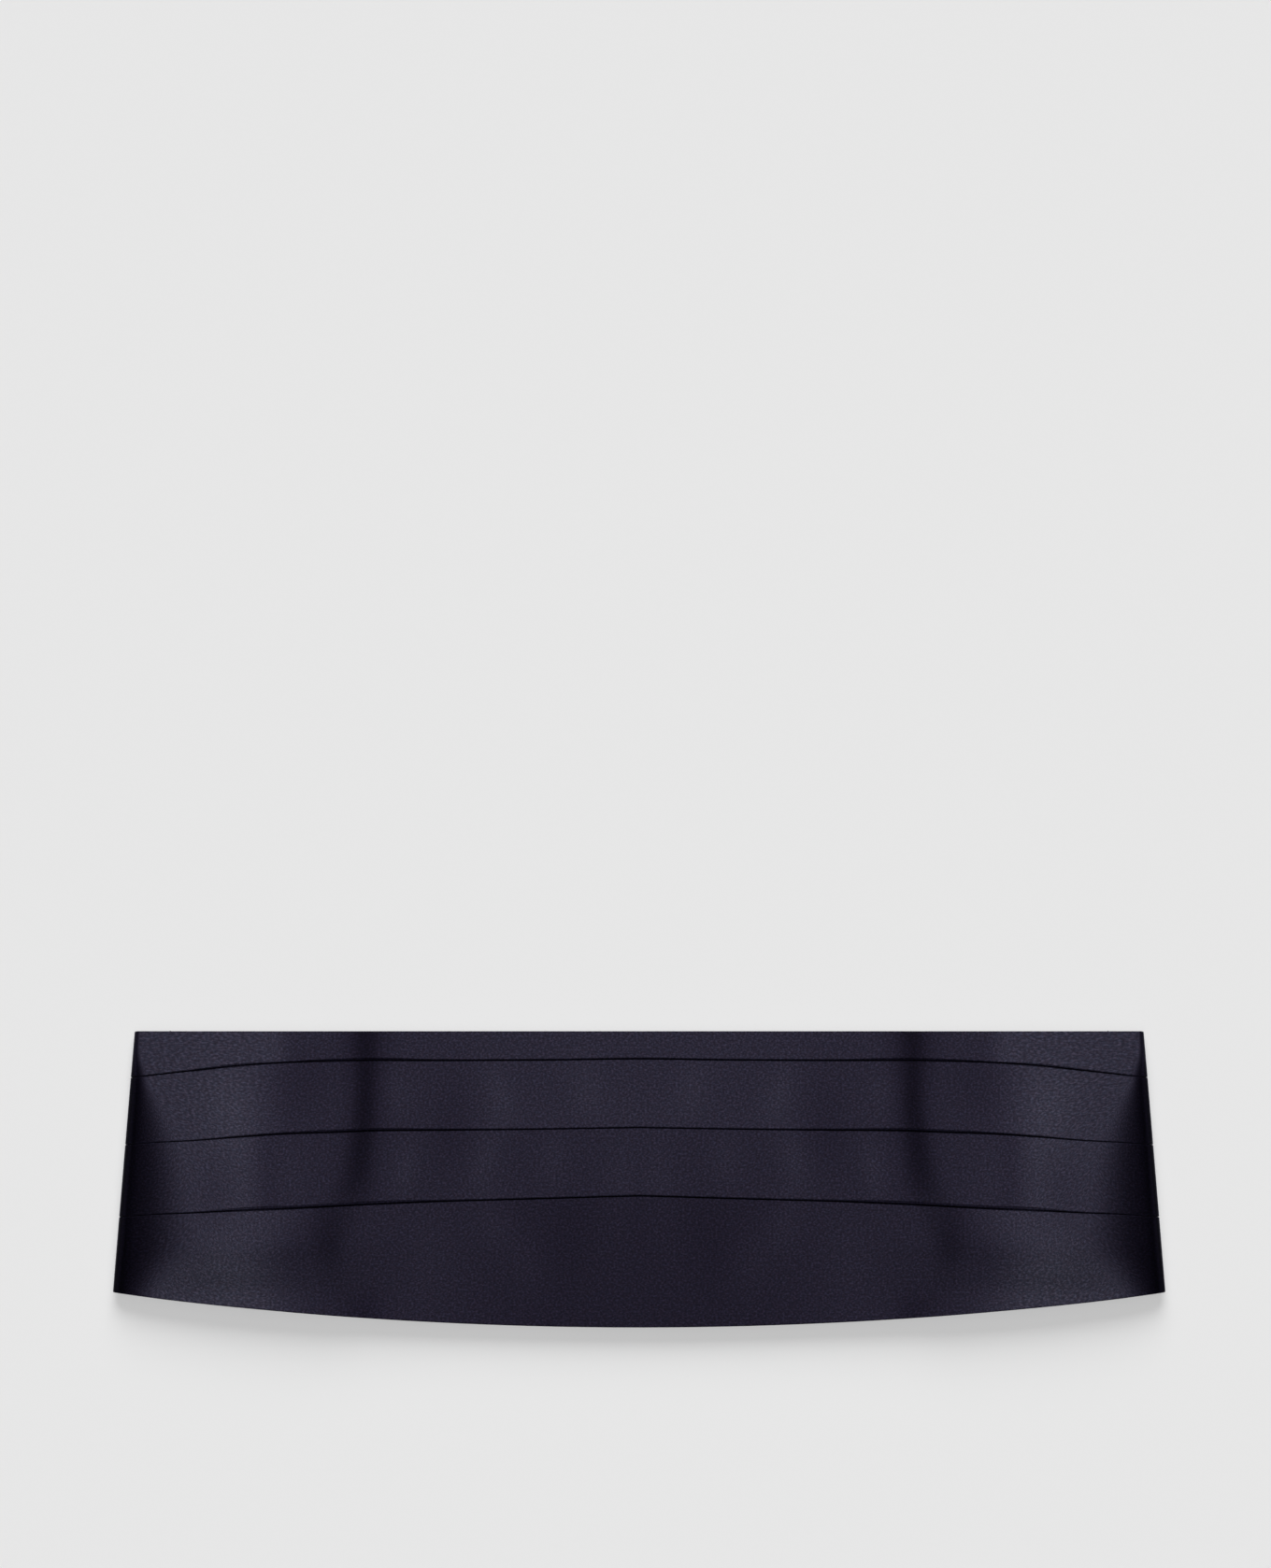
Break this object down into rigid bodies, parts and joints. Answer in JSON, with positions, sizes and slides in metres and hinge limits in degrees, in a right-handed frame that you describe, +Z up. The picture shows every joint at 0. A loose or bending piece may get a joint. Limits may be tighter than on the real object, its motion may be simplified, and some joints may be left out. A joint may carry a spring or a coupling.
{
  "type": "pleated cummerbund laid flat",
  "caption": "Pleated satin cummerbund, fastened at the back and laid flat: a wide pleated front with rolled ends over narrow back bands, elastic straps and a hook and eye.",
  "frame": {"origin": "on the surface that the cummerbund lies on, below the middle of the front panel", "axes": "+X along the band towards its right end as seen from above, +Y from the hem towards the top edge, +Z up from the surface"},
  "size_m": [0.4502, 0.1268, 0.0147],
  "materials": {
    "satin": "dark navy silk satin, softly shiny",
    "elastic": "matt ribbed elastic webbing",
    "clasp_metal": "dark plated metal"
  },
  "bodies": {
    "root": {"front_panel": "satin", "back_band_left": "satin", "back_band_right": "satin", "strap_left": "elastic", "strap_right": "elastic", "clasp_hook": "clasp_metal", "clasp_eye": "clasp_metal"}
  },
  "joints": []
}
